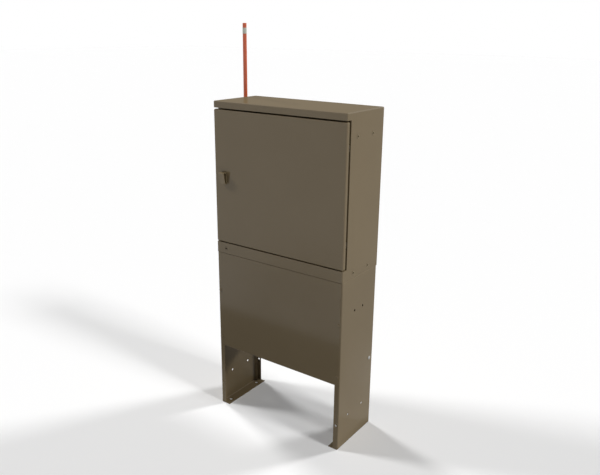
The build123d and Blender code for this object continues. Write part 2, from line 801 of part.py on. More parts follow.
# Earthing bolt and nut on the right leg
earth_bolt = screws(
    right_plane, [(earth_bolt_y, earth_bolt_z)], 1, m8_hex_r, m6_head_h, m8_r, sheet + m8_nut_h + thread_past
)
save(earth_bolt, "earth_bolt")
earth_nut = nuts(
    Plane.YZ.offset(inner_x), [(earth_bolt_y, earth_bolt_z)], -1, m8_hex_r, m8_nut_h, m8_r + hole_fit
)
save(earth_nut, "earth_nut")

# Marker rod, its band, and the two straps and clamps that hold it
strap_in_x = -side_x - insert_rim_t
strap_out_x = strap_in_x - strap_t
rod_x = strap_out_x - rod_gap - rod_r
rod_top = top_z + rod_above
rod_len = rod_top - (base_h - rod_below)
clamp_half = rod_r + clamp_t + clamp_foot
clamp_screw_y = clamp_half - clamp_foot / 2
with BuildPart() as marker_rod:
    with BuildSketch(Plane.XY.offset(rod_top - rod_len)):
        with Locations((rod_x, rod_y)):
            Circle(rod_r)
    extrude(amount=rod_len)
    chamfer(marker_rod.edges().filter_by(GeomType.CIRCLE), length=rod_chamfer)
save(marker_rod, "marker_rod")

with BuildPart() as marker_band:
    with BuildSketch(Plane.XY.offset(rod_top - band_below_tip - band_h)):
        with Locations((rod_x, rod_y)):
            Circle(rod_r + band_t)
            Circle(rod_r, mode=Mode.SUBTRACT)
    extrude(amount=band_h)
save(marker_band, "marker_band")

clamp_points = [(rod_y + side * clamp_screw_y, 0) for side in (-1, 1)]
for place, z in (("lower", base_h + insert_low), ("upper", base_h + insert_low + insert_pitch_z)):
    strap_low = -insert_pitch_y / 2 - strap_end
    strap_high = rod_y + clamp_half + clamp_t
    with BuildPart() as strap:
        with BuildSketch(Plane.YZ.offset(strap_out_x)):
            with Locations(((strap_low + strap_high) / 2, z)):
                RectangleRounded(strap_high - strap_low, strap_h, clamp_foot_round)
            with Locations((-insert_pitch_y / 2, z), (insert_pitch_y / 2, z)):
                Circle(m8_r + hole_fit, mode=Mode.SUBTRACT)
            with Locations(*[(y, z) for y, _ in clamp_points]):
                Circle(m5_r + hole_fit, mode=Mode.SUBTRACT)
        extrude(amount=strap_t)
    save(strap, f"marker_strap_{place}")

    with BuildPart() as clamp:
        with BuildSketch(Plane.XY.offset(z - clamp_h / 2)):
            with Locations((rod_x, rod_y)):
                Circle(rod_r + rod_gap + clamp_t)
            with Locations(((rod_x + strap_out_x) / 2, rod_y)):
                Rectangle(strap_out_x - rod_x, 2 * (rod_r + rod_gap + clamp_t))
            with Locations((strap_out_x - clamp_t / 2, rod_y)):
                Rectangle(clamp_t, 2 * clamp_half)
            with Locations((rod_x, rod_y)):
                Circle(rod_r + rod_gap, mode=Mode.SUBTRACT)
            with Locations((strap_out_x + clamp_half, rod_y)):
                Rectangle(2 * clamp_half, 2 * clamp_half, mode=Mode.SUBTRACT)
            with Locations((rod_x + clamp_half, rod_y)):
                Rectangle(2 * clamp_half, 2 * (rod_r + rod_gap), mode=Mode.SUBTRACT)
        extrude(amount=clamp_h)
        drill(Plane.YZ.offset(strap_out_x), [(y, z) for y, _ in clamp_points], m5_r + hole_fit, 2 * clamp_t)
    save(clamp, f"marker_clamp_{place}")

clamp_screw_points = [
    (y, base_h + insert_low + z) for y, _ in clamp_points for z in (0, insert_pitch_z)
]
clamp_screws = screws(
    Plane.YZ.offset(strap_out_x - clamp_t), clamp_screw_points, -1, m5_head_r, m5_head_h, m5_r, clamp_t + strap_t
)
save(clamp_screws, "clamp_screws")
strap_bolts = screws(
    Plane.YZ.offset(strap_out_x), side_points, -1, m8_hex_r, m8_hex_h, m8_r - run_fit,
    strap_t + insert_rim_t + insert_len - insert_end - 1, hexagon=True,
)
save(strap_bolts, "strap_bolts")
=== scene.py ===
"""Looks for a roadside utility cabinet: powder coat, zinc, rubber and fibreglass on fixed metal parts."""

import json
import math

import bpy
from bpy.props import FloatProperty, FloatVectorProperty, IntProperty, PointerProperty
from mathutils import Matrix, Vector


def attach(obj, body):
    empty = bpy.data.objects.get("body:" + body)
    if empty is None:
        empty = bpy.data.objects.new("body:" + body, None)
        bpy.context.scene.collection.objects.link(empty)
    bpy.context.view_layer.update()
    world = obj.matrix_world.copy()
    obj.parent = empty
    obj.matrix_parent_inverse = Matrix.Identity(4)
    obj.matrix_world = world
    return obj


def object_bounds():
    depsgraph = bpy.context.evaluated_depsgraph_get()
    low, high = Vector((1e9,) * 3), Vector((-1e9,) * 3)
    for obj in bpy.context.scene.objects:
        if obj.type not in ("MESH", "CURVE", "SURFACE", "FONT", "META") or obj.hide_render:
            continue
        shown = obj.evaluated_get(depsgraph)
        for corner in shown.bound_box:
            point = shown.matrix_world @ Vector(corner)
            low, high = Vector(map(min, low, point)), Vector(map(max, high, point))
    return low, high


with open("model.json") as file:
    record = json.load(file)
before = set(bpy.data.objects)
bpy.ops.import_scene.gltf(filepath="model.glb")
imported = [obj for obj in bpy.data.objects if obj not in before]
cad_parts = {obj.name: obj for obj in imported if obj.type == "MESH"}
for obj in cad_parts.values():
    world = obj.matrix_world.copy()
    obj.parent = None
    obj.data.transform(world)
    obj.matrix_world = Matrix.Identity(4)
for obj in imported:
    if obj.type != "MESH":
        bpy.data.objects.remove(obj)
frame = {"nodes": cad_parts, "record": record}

bl_info = {
    "name": "Utility Cabinet Finish",
    "version": (1, 0, 0),
    "blender": (4, 5, 0),
    "location": "View3D > Sidebar > Cabinet",
    "description": "Finishes a sheet metal utility cabinet and sets it on a pale studio floor",
    "category": "Object",
}

NODES = frame["nodes"]
CAD_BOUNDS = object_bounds()

# Painted shade: the floor shows darker greys to bounced light and, near the cabinet, to reflections, which
# darkens the cabinet's lower faces. Places are shares of STRIP_LENGTH before STRIP_START, each with its
# colour there.
STRIP_START = 0.3
STRIP_LENGTH = 5.0
STRIP_END = (0.241, 0.245)
SHADE_STRIP = (
    (0.0, 0.25), (0.04, 0.25), (0.085, 0.7), (0.12, 0.6),
    (0.15, 0.22), (STRIP_END[0], 0.22), (STRIP_END[1], 0.5), (1.0, 0.75),
)
SHADE_BESIDE = ((0.3, 0.0), (0.34, 0.65), (0.5, 0.65), (0.7, 0.42))

# Painted shade by height in metres: how much darker the paint is made low down.
LOW_SHADE = ((0.1, 0.1), (0.3, 0.7), (0.72, 0.55), (0.8, 0.0))

# Zinc ends with a thread: the start of each, in metres, and how long it stands out.
STUD_X, STUD_Z, STUD_END_Y = 0.235, (0.786, 1.236), 0.0826
BASE_BOLT_X, BASE_BOLT_Y, BASE_BOLT_END_Z = 0.291, 0.08, 0.6974
EARTH_BOLT_END = (0.2929, 0.1, 0.315)
STUD_THREAD, BOLT_THREAD = 0.003, 0.0031

# The feet of the door's stiffener: middle of a foot, its face, and how far the first weld is from the end.
FOOT_X, FOOT_Y, WELD_MARGIN = 0.0275, -0.1235, 0.02

# Camera axes and place, as fitted to the photograph.
CAMERA_RIGHT = (0.8133, 0.5818, 0.0103)
CAMERA_UP = (-0.1854, 0.2424, 0.9523)
CAMERA_PLACE = (1.4734, -2.0411, 1.6036)
FLOOR_HALF = 40.0


class Signal:
    """An output socket that can be used in sums, differences, products and powers."""

    def __init__(self, graph, socket):
        self.graph = graph
        self.socket = socket

    def maths(self, operation, first, second):
        return self.graph.node("ShaderNodeMath", {"operation": operation}, {0: first, 1: second})

    def __add__(self, other):
        return self.maths("ADD", self, other)

    def __radd__(self, other):
        return self.maths("ADD", other, self)

    def __sub__(self, other):
        return self.maths("SUBTRACT", self, other)

    def __rsub__(self, other):
        return self.maths("SUBTRACT", other, self)

    def __mul__(self, other):
        return self.maths("MULTIPLY", self, other)

    def __rmul__(self, other):
        return self.maths("MULTIPLY", other, self)

    def __truediv__(self, other):
        return self.maths("DIVIDE", self, other)

    def __pow__(self, other):
        return self.maths("POWER", self, other)


class Graph:
    """Adds nodes to a tree; every node comes from the one method."""

    def __init__(self, tree):
        self.tree = tree

    def node(self, kind, settings=None, sockets=None, output=0):
        made = self.tree.nodes.new(kind)
        for name, value in (settings or {}).items():
            if name == "stops":
                ramp = made.color_ramp.elements
                while len(ramp) < len(value):
                    ramp.new(1.0)
                for stop, (place, level) in zip(ramp, value):
                    stop.position = place
                    stop.color = (level, level, level, 1.0)
            else:
                setattr(made, name, value)
        for key, value in (sockets or {}).items():
            if isinstance(value, Signal):
                self.tree.links.new(value.socket, made.inputs[key])
            else:
                made.inputs[key].default_value = value
        return Signal(self, made.outputs[output]) if len(made.outputs) else None

    def place(self, scale=(1.0, 1.0, 1.0)):
        """Object coordinates in metres, stretched by a Mapping node."""
        coordinates = self.node("ShaderNodeTexCoord", output="Object")
        return self.node("ShaderNodeMapping", {}, {"Vector": coordinates, "Scale": scale})

    def noise(self, size, detail=2.0, where=None, roughness=0.5):
        """Noise from 0 to 1 whose bumps are about size metres across."""
        where = where or self.place()
        sockets = {"Vector": where, "Scale": 1.0 / size, "Detail": detail, "Roughness": roughness}
        return self.node("ShaderNodeTexNoise", {}, sockets)

    def cells(self, size, feature="F1", where=None):
        """Distance field of cells about size metres across."""
        where = where or self.place()
        return self.node("ShaderNodeTexVoronoi", {"feature": feature}, {"Vector": where, "Scale": 1.0 / size})

    def facing_up(self):
        """1 on level upper faces, 0 on upright ones, less below."""
        normal = self.node("ShaderNodeNewGeometry", output="Normal")
        return self.node("ShaderNodeSeparateXYZ", {}, {0: normal}, output=2)

    def ramp(self, value, *stops):
        return self.node("ShaderNodeValToRGB", {"stops": stops}, {"Fac": value})

    def mix(self, amount, first, second):
        """Mix two colours, each a signal or a tuple."""
        first, second = (c if isinstance(c, Signal) else (*c, 1.0) for c in (first, second))
        return self.node("ShaderNodeMix", {"data_type": "RGBA"}, {0: amount, 6: first, 7: second}, output=2)

    def bump(self, height, depth, normal=None, strength=1.0):
        """Bump of a 0 to 1 height, depth metres deep."""
        sockets = {"Height": height, "Distance": depth, "Strength": strength}
        if normal is not None:
            sockets["Normal"] = normal
        return self.node("ShaderNodeBump", {}, sockets)


def shade(colour, share):
    """A colour made lighter or darker by a share."""
    return tuple(channel * (1.0 + share) for channel in colour)


def principled(name, **sockets):
    """A new material, its graph, and a Principled shader with these sockets set."""
    material = bpy.data.materials.new(name)
    material.use_nodes = True
    graph = Graph(material.node_tree)
    shader = material.node_tree.nodes["Principled BSDF"]
    material["shader"] = shader.name
    for key, value in sockets.items():
        shader.inputs[key.replace("_", " ")].default_value = value
    return material, graph, shader


def feed(graph, shader, **signals):
    """Link signals to a shader's sockets."""
    for key, signal in signals.items():
        graph.tree.links.new(signal.socket, shader.inputs[key.replace("_", " ")])


def powder_coat(name, colour, gloss, peel, painted_top_shade, painted_low_shade):
    """Baked powder coat: orange peel and fine grains, with painted shade on the level upper faces and painted
    shade low down.
    """
    material, graph, shader = principled(name, Metallic=0.0, Specular_IOR_Level=0.0, Coat_Roughness=0.12)
    film = graph.noise(0.16, detail=3.0)
    grain = graph.noise(0.0011, detail=1.0)
    upward = graph.ramp(graph.facing_up(), (0.9, 0.0), (0.99, 1.0))
    height = graph.node("ShaderNodeSeparateXYZ", {}, {0: graph.place()}, output=2)
    # Painted shade: the paint darkens towards the ground, by height.
    low_shade_mask = graph.ramp(height + film * 0.1, *LOW_SHADE)
    settled = graph.mix(film, shade(colour, -0.035), shade(colour, 0.035))
    settled = graph.mix(low_shade_mask * painted_low_shade, settled, shade(colour, -0.5))
    speckled = graph.mix(graph.ramp(grain, (0.42, 0.0), (0.72, 1.0)) * 0.16, settled, shade(colour, 0.22))
    low = graph.bump(graph.noise(0.02, detail=1.0), 0.00002)
    feed(
        graph, shader,
        # Painted shade: level upper faces take a darker copy of the paint.
        Base_Color=graph.mix(upward, speckled, shade(colour, -painted_top_shade)),
        Roughness=film * 0.1 + 0.5,
        Coat_Weight=(1.0 - upward * 0.88) * (gloss + film * 0.1 - 0.05),
        Normal=graph.bump(graph.noise(peel, detail=1.5), 0.00003, normal=low),
    )
    return material


def zinc(name, colour, roughness):
    """Zinc plate with pale crystals, a light yellow passivation and handling marks."""
    material, graph, shader = principled(name, Metallic=1.0)
    cells = graph.cells(0.004)
    cloud = graph.noise(0.018, detail=4.0)
    warm = graph.mix(cloud, colour, tuple(c * k for c, k in zip(colour, (1.0, 0.93, 0.76))))
    feed(
        graph, shader,
        Base_Color=graph.mix(cells * 0.5, warm, shade(colour, 0.18)),
        Roughness=cloud * 0.16 + cells * 0.08 + (roughness - 0.1),
        Normal=graph.bump(graph.noise(0.0008, detail=3.0), 0.00003),
    )
    return material


def drawn_steel(name, colour, roughness, stretch):
    """Drawn or turned bright steel, with fine lines along one direction."""
    material, graph, shader = principled(name, Metallic=1.0)
    lines = graph.noise(0.0006, detail=4.0, where=graph.place(stretch))
    feed(
        graph, shader,
        Base_Color=graph.mix(lines, shade(colour, -0.12), shade(colour, 0.08)),
        Roughness=lines * 0.2 + (roughness - 0.1),
        Normal=graph.bump(lines, 0.000012),
    )
    return material


def copper(name, colour, roughness):
    """Bare copper bar: drawn lines under a patchy brown bloom."""
    material, graph, shader = principled(name, Metallic=1.0)
    lines = graph.noise(0.0007, detail=3.0, where=graph.place((0.04, 1.0, 1.0)))
    bloom = graph.ramp(graph.noise(0.012, detail=5.0), (0.4, 0.0), (0.7, 1.0))
    brown = tuple(c * k for c, k in zip(colour, (0.62, 0.5, 0.45)))
    feed(
        graph, shader,
        Base_Color=graph.mix(bloom * 0.6, shade(colour, 0.08), brown),
        Roughness=bloom * 0.18 + lines * 0.1 + roughness,
        Normal=graph.bump(lines, 0.00002),
    )
    return material


def moulded(name, colour, roughness):
    """Moulded insulator with a fine spark texture."""
    material, graph, shader = principled(name, Metallic=0.0)
    spark = graph.noise(0.0009, detail=2.0)
    feed(
        graph, shader,
        Base_Color=graph.mix(graph.noise(0.008), shade(colour, -0.08), shade(colour, 0.1)),
        Roughness=spark * 0.12 + (roughness - 0.06),
        Normal=graph.bump(spark, 0.00004),
    )
    return material


def rubber(name, colour, roughness):
    """Moulded rubber with a dusty bloom."""
    material, graph, shader = principled(name, Metallic=0.0)
    bloom = graph.ramp(graph.noise(0.01, detail=5.0), (0.45, 0.0), (0.8, 1.0))
    feed(
        graph, shader,
        Base_Color=graph.mix(bloom * 0.3, colour, shade(colour, 1.6)),
        Roughness=bloom * 0.12 + roughness,
        Normal=graph.bump(graph.noise(0.0012, detail=3.0), 0.00006),
    )
    return material


def foam(name, colour, roughness):
    """Closed cell foam whose skin shows its small cells."""
    material, graph, shader = principled(name, Metallic=0.0)
    cells = graph.cells(0.0011)
    feed(
        graph, shader,
        Base_Color=graph.mix(cells, shade(colour, -0.35), shade(colour, 0.5)),
        Roughness=cells * 0.1 + (roughness - 0.05),
        Normal=graph.bump(cells, 0.0002),
    )
    return material


def fibreglass(name, colour, roughness):
    """Pultruded rod: long glass fibres under a glossy, slightly sun-bleached resin."""
    material, graph, shader = principled(name, Metallic=0.0, Coat_Roughness=0.12)
    shader.inputs["Coat Weight"].default_value = 0.3
    fibres = graph.noise(0.0012, detail=3.0, where=graph.place((1.0, 1.0, 0.012)))
    bleach = graph.noise(0.05, detail=3.0)
    coloured = graph.mix(fibres, shade(colour, -0.14), shade(colour, 0.16))
    feed(
        graph, shader,
        Base_Color=graph.mix(bleach * 0.25, coloured, shade(colour, 0.3)),
        Roughness=fibres * 0.14 + (roughness - 0.07),
        Normal=graph.bump(fibres, 0.00006),
    )
    return material


def reflective_sheet(name, colour, roughness):
    """Pale reflective sheeting with small sealed cells."""
    material, graph, shader = principled(name, Metallic=0.0)
    edges = graph.ramp(graph.cells(0.0032, feature="DISTANCE_TO_EDGE"), (0.02, 1.0), (0.07, 0.0))
    feed(
        graph, shader,
        Base_Color=graph.mix(edges * 0.5, colour, shade(colour, -0.3)),
        Roughness=edges * 0.2 + roughness,
        Normal=graph.bump(edges, 0.00008),
    )
    return material


def seen_directly(graph, *rays):
    """1 for the camera and for the other kinds of ray, 0 for light that bounces."""
    total = graph.node("ShaderNodeLightPath", output="Is Camera Ray")
    for ray in rays:
        total = total + graph.node("ShaderNodeLightPath", output=ray)
    return total


def floor_finish(name, colour):
    """Pale studio floor, seen white; painted shade makes it darker to bounced light everywhere and to
    reflections near the cabinet.
    """
    material, graph, shader = principled(name, Roughness=0.9, Specular_IOR_Level=0.1)
    coordinates = graph.node("ShaderNodeTexCoord", output="Object")
    across, along = (graph.node("ShaderNodeSeparateXYZ", {}, {0: coordinates}, output=axis) for axis in "XY")
    place = (STRIP_START - along) * (1.0 / STRIP_LENGTH)
    # Painted shade: grey levels that bounced light and near reflections find on the floor, low under and in
    # front of the cabinet.
    strip = graph.ramp(place, *SHADE_STRIP)
    beside = graph.ramp(across, *SHADE_BESIDE)
    level = graph.node("ShaderNodeMath", {"operation": "MAXIMUM"}, {0: strip, 1: beside})
    beyond = graph.ramp(place, (STRIP_END[0], 0.0), (STRIP_END[1], 1.0))
    mirrored = graph.node("ShaderNodeLightPath", output="Is Glossy Ray") * beyond
    white = seen_directly(graph, "Is Transmission Ray") + mirrored
    feed(graph, shader, Base_Color=graph.mix(white, level, colour))
    return material


def dress(names, material):
    """Give CAD nodes a finish in their own material slots."""
    for name in names:
        slots = NODES[name].material_slots
        if not slots:
            NODES[name].data.materials.append(material)
        for slot in slots:
            slot.material = material


def nodes_of(slot):
    """The CAD nodes that the record gives one material slot."""
    return [part["node"] for part in frame["record"]["subparts"] if part["material_slot"] == slot]


def begin_tree(name, **inputs):
    """A Geometry Nodes tree with its geometry sockets and named inputs of these socket kinds."""
    tree = bpy.data.node_groups.new(name, "GeometryNodeTree")
    for way in ("INPUT", "OUTPUT"):
        tree.interface.new_socket("Geometry", in_out=way, socket_type="NodeSocketGeometry")
    for label, kind in inputs.items():
        tree.interface.new_socket(label, in_out="INPUT", socket_type="NodeSocket" + kind)
    graph = Graph(tree)
    return graph, {label: graph.node("NodeGroupInput", output=label) for label in ("Geometry", *inputs)}


def end_tree(graph, instances, material):
    """Realize the instances, give them their material and end the tree."""
    whole = graph.node("GeometryNodeRealizeInstances", {}, {0: instances})
    dressed = graph.node("GeometryNodeSetMaterial", {}, {"Geometry": whole, "Material": material})
    graph.node("NodeGroupOutput", {}, {0: dressed})


def thread_tree(material):
    """Turns of a screw thread wound round each point's axis."""
    kinds = {"Radius": "Float", "Pitch": "Float", "Turns": "Float", "Ridge": "Float", "Turn": "Rotation"}
    graph, size = begin_tree("thread_turns", **kinds)
    spiral = {"Resolution": 28, "Rotations": size["Turns"], "Height": size["Pitch"] * size["Turns"]}
    spiral |= {"Start Radius": size["Radius"], "End Radius": size["Radius"]}
    path = graph.node("GeometryNodeCurveSpiral", {}, spiral)
    ridge = graph.node("GeometryNodeCurvePrimitiveCircle", {}, {"Resolution": 3, "Radius": size["Ridge"]})
    wound = {"Curve": path, "Profile Curve": ridge, "Fill Caps": True}
    turns = graph.node("GeometryNodeCurveToMesh", {}, wound)
    places = {"Points": size["Geometry"], "Instance": turns, "Rotation": size["Turn"]}
    end_tree(graph, graph.node("GeometryNodeInstanceOnPoints", {}, places), material)
    return graph.tree


def thread_ends():
    """Where threads stand out of their nuts: start points, turn of the axis and length."""
    quarter = math.radians(90.0)
    studs = [(side * STUD_X, STUD_END_Y, z) for side in (-1, 1) for z in STUD_Z]
    bolts = [(side * BASE_BOLT_X, end * BASE_BOLT_Y, BASE_BOLT_END_Z) for side in (-1, 1) for end in (-1, 1)]
    return {
        "stud_threads": (studs, (-quarter, 0.0, 0.0), STUD_THREAD),
        "base_bolt_threads": (bolts, (0.0, 0.0, 0.0), BOLT_THREAD),
        "earth_bolt_threads": ([EARTH_BOLT_END], (0.0, quarter, 0.0), BOLT_THREAD),
    }


def weld_tree(material):
    """Rows of round spot weld marks that climb from each point, facing +Y."""
    graph, size = begin_tree("weld_rows", Length="Float", Count="Int", Radius="Float", Rise="Float")
    rim = graph.node("GeometryNodeCurvePrimitiveCircle", {}, {"Resolution": 20, "Radius": size["Radius"]})
    bead = graph.node("GeometryNodeCurvePrimitiveCircle", {}, {"Resolution": 6, "Radius": size["Rise"]})
    mark = graph.node("GeometryNodeCurveToMesh", {}, {"Curve": rim, "Profile Curve": bead})
    top = graph.node("ShaderNodeCombineXYZ", {}, {"Z": size["Length"]})
    row = graph.node("GeometryNodeMeshLine", {"mode": "END_POINTS"}, {"Count": size["Count"], "Offset": top})
    upright = {"Points": row, "Instance": mark, "Rotation": (math.radians(90.0), 0.0, 0.0)}
    marks = graph.node("GeometryNodeInstanceOnPoints", {}, upright)
    rows = graph.node("GeometryNodeInstanceOnPoints", {}, {"Points": size["Geometry"], "Instance": marks})
    end_tree(graph, rows, material)
    return graph.tree


def grow(name, tree, points, body, slot, **sizes):
    """Run a tree on points and keep the result as a plain mesh that moves with a body."""
    mesh = bpy.data.meshes.new(name)
    mesh.from_pydata(points, [], [])
    piece = bpy.data.objects.new(name, mesh)
    bpy.context.scene.collection.objects.link(piece)
    modifier = piece.modifiers.new(name, "NODES")
    modifier.node_group = tree
    for item in tree.interface.items_tree:
        if item.in_out == "INPUT" and item.name in sizes:
            modifier[item.identifier] = sizes[item.name]
    grown = bpy.data.meshes.new_from_object(piece.evaluated_get(bpy.context.evaluated_depsgraph_get()))
    if not grown.polygons:
        raise RuntimeError(f"{name} came out empty")
    # The bare points leave an empty material slot before the tree's own.
    if grown.materials[0] is None:
        grown.materials.pop(index=0)
    piece.modifiers.remove(modifier)
    piece.data = grown
    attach(piece, body)


class CabinetFinish(bpy.types.PropertyGroup):
    """Colours and gloss of the cabinet's surfaces"""

    paint: FloatVectorProperty(
        name="Paint", description="Powder coat of the enclosure, door, legs and skirts",
        subtype="COLOR", size=3, min=0.0, max=1.0, default=(0.2, 0.152, 0.086),
    )
    gloss: FloatProperty(
        name="Gloss", description="How much the powder coat mirrors", min=0.0, max=1.0, default=0.72,
    )
    # Painted shade: how much darker the paint is made on level upper faces.
    painted_top_shade: FloatProperty(
        name="Painted top shade", description="How much darker the level upper faces are",
        min=0.0, max=1.0, default=0.16,
    )
    # Painted shade: how much darker the paint is made on the lower part of the cabinet.
    painted_low_shade: FloatProperty(
        name="Low shade", description="Road grime on the lower part of the cabinet",
        min=0.0, max=1.0, default=0.25,
    )
    # Painted light: a lighter copy of the paint, so the holes of the inserts look less dark.
    inserts: FloatVectorProperty(
        name="Inserts", description="Thinner coat on the threaded inserts of the sides",
        subtype="COLOR", size=3, min=0.0, max=1.0, default=(0.25, 0.2, 0.12),
    )
    # Painted light: a lighter copy of the paint, so the handle's pocket looks less dark.
    handle: FloatVectorProperty(
        name="Handle", description="Coat of the latch handle, painted on its own",
        subtype="COLOR", size=3, min=0.0, max=1.0, default=(0.235, 0.18, 0.102),
    )
    orange_peel: FloatProperty(
        name="Orange peel", description="Width of one wave in the paint's skin",
        min=0.0005, max=0.01, default=0.0026, unit="LENGTH",
    )
    zinc: FloatVectorProperty(
        name="Zinc", description="Plated fasteners, hinges and brackets",
        subtype="COLOR", size=3, min=0.0, max=1.0, default=(0.56, 0.57, 0.57),
    )
    steel: FloatVectorProperty(
        name="Bright steel", description="Hinge pins and terminal screws",
        subtype="COLOR", size=3, min=0.0, max=1.0, default=(0.66, 0.66, 0.66),
    )
    panel: FloatVectorProperty(
        name="Panel", description="Painted mounting panel inside the enclosure",
        subtype="COLOR", size=3, min=0.0, max=1.0, default=(0.78, 0.78, 0.76),
    )
    copper: FloatVectorProperty(
        name="Copper", description="Earth bar",
        subtype="COLOR", size=3, min=0.0, max=1.0, default=(0.75, 0.36, 0.22),
    )
    insulator: FloatVectorProperty(
        name="Insulator", description="Posts that carry the earth bar",
        subtype="COLOR", size=3, min=0.0, max=1.0, default=(0.36, 0.035, 0.02),
    )
    rubber: FloatVectorProperty(
        name="Rubber", description="Cable grommets",
        subtype="COLOR", size=3, min=0.0, max=1.0, default=(0.02, 0.02, 0.02),
    )
    foam: FloatVectorProperty(
        name="Foam", description="Seal of the door",
        subtype="COLOR", size=3, min=0.0, max=1.0, default=(0.03, 0.03, 0.032),
    )


class RodFinish(bpy.types.PropertyGroup):
    """Colours of the marker rod"""

    resin: FloatVectorProperty(
        name="Rod", description="Fibreglass of the marker rod",
        subtype="COLOR", size=3, min=0.0, max=1.0, default=(0.64, 0.115, 0.037),
    )
    band: FloatVectorProperty(
        name="Band", description="Reflective band near the rod's tip",
        subtype="COLOR", size=3, min=0.0, max=1.0, default=(0.6, 0.62, 0.53),
    )


class DetailSettings(bpy.types.PropertyGroup):
    """Sizes of the thread turns and the spot welds"""

    thread_radius: FloatProperty(
        name="Thread radius", description="Middle of the thread's ridge",
        min=0.001, default=0.00392, unit="LENGTH",
    )
    thread_pitch: FloatProperty(
        name="Thread pitch", description="Rise of one turn", min=0.0002, default=0.00125, unit="LENGTH",
    )
    thread_ridge: FloatProperty(
        name="Thread ridge", description="Size of the thread's ridge",
        min=0.0001, default=0.0004, unit="LENGTH",
    )
    weld_count: IntProperty(
        name="Welds", description="Spot welds on each foot of the door's stiffener", min=2, default=11,
    )
    weld_radius: FloatProperty(
        name="Weld radius", description="Radius of a spot weld's rim",
        min=0.001, default=0.0026, unit="LENGTH",
    )
    weld_rise: FloatProperty(
        name="Weld rise", description="How far a rim stands up", min=0.00005, default=0.00025, unit="LENGTH",
    )


class StageSettings(bpy.types.PropertyGroup):
    """Floor, lamps and camera"""

    floor: FloatVectorProperty(
        name="Floor", description="Colour of the floor",
        subtype="COLOR", size=3, min=0.0, max=1.0, default=(0.885, 0.885, 0.885),
    )
    sky: FloatProperty(
        name="Sky", description="Strength of the even light from all round", min=0.0, max=2.0, default=0.02,
    )
    lamps: FloatProperty(
        name="Lamps", description="Light that each lamp throws on the floor", min=0.0, default=0.864,
    )
    right_height: FloatProperty(
        name="Right height", description="How high the right lamp stands", subtype="ANGLE",
        default=math.radians(38.0),
    )
    left_height: FloatProperty(
        name="Left height", description="How high the two left lamps stand", subtype="ANGLE",
        default=math.radians(39.0),
    )
    back_height: FloatProperty(
        name="Back height", description="How high the lamp behind stands", subtype="ANGLE",
        default=math.radians(30.0),
    )
    softness: FloatProperty(
        name="Softness", description="How wide each lamp looks from the cabinet", subtype="ANGLE",
        default=math.radians(11.0),
    )
    focal_length: FloatProperty(
        name="Focal length", description="Camera lens in millimetres of a 36 mm wide sensor",
        min=10.0, max=200.0, default=39.55,
    )


class CABINET_OT_paint(bpy.types.Operator):
    """Powder coat the enclosure, door, legs, skirts and what was painted with them"""

    bl_idname = "cabinet.paint"
    bl_label = "Powder Coat"

    def execute(self, context):
        finish = context.scene.cabinet_finish
        skin = finish.gloss, finish.orange_peel, finish.painted_top_shade, finish.painted_low_shade
        dress(nodes_of("cabinet_paint"), powder_coat("powder_coat", tuple(finish.paint), *skin))
        # Painted light: the side inserts take a lighter copy of the paint, which lifts the shade in their
        # holes.
        inserts = ("side_inserts_right", "side_inserts_left")
        dress(inserts, powder_coat("insert_lightened_coat", tuple(finish.inserts), *skin))
        # Painted light: the latch handle takes a lighter copy of the paint, which lifts the shade in its
        # pocket.
        dress(("latch_handle",), powder_coat("handle_lightened_coat", tuple(finish.handle), *skin))
        return {"FINISHED"}


class CABINET_OT_plate(bpy.types.Operator):
    """Zinc plate the fasteners, hinges and brackets"""

    bl_idname = "cabinet.plate"
    bl_label = "Zinc Plate"

    def execute(self, context):
        finish = context.scene.cabinet_finish
        dress(nodes_of("zinc_plate"), zinc("zinc_plate", tuple(finish.zinc), 0.36))
        along_z = (1.0, 1.0, 0.05)
        dress(nodes_of("bright_steel"), drawn_steel("bright_steel", tuple(finish.steel), 0.26, along_z))
        return {"FINISHED"}


class CABINET_OT_inside(bpy.types.Operator):
    """Finish the mounting panel, the earth bar and its posts, the grommets and the seal"""

    bl_idname = "cabinet.inside"
    bl_label = "Inside Parts"

    def execute(self, context):
        finish = context.scene.cabinet_finish
        dress(nodes_of("panel_paint"), powder_coat("panel_paint", tuple(finish.panel), 0.4, 0.0022, 0.0, 0.0))
        dress(nodes_of("copper_bar"), copper("copper_bar", tuple(finish.copper), 0.2))
        dress(nodes_of("insulator"), moulded("insulator", tuple(finish.insulator), 0.45))
        dress(nodes_of("black_rubber"), rubber("black_rubber", tuple(finish.rubber), 0.6))
        dress(nodes_of("seal_foam"), foam("seal_foam", tuple(finish.foam), 0.85))
        return {"FINISHED"}


class CABINET_OT_rod(bpy.types.Operator):
    """Finish the marker rod and its band"""

    bl_idname = "cabinet.rod"
    bl_label = "Marker Rod"

    def execute(self, context):
        finish = context.scene.cabinet_rod
        dress(nodes_of("rod_orange"), fibreglass("rod_orange", tuple(finish.resin), 0.35))
        dress(nodes_of("rod_band"), reflective_sheet("rod_band", tuple(finish.band), 0.3))
        return {"FINISHED"}


class CABINET_OT_threads(bpy.types.Operator):
    """Wind thread turns round the bolt and stud ends that stand out of their nuts"""

    bl_idname = "cabinet.threads"
    bl_label = "Thread Turns"

    def execute(self, context):
        detail = context.scene.cabinet_detail
        tree = thread_tree(NODES["base_bolts"].material_slots[0].material)
        sizes = {"Radius": detail.thread_radius, "Pitch": detail.thread_pitch, "Ridge": detail.thread_ridge}
        for name, (points, turn, length) in thread_ends().items():
            turns = length / detail.thread_pitch
            grow(name, tree, points, "cabinet", "zinc_plate", Turns=turns, Turn=turn, **sizes)
        return {"FINISHED"}


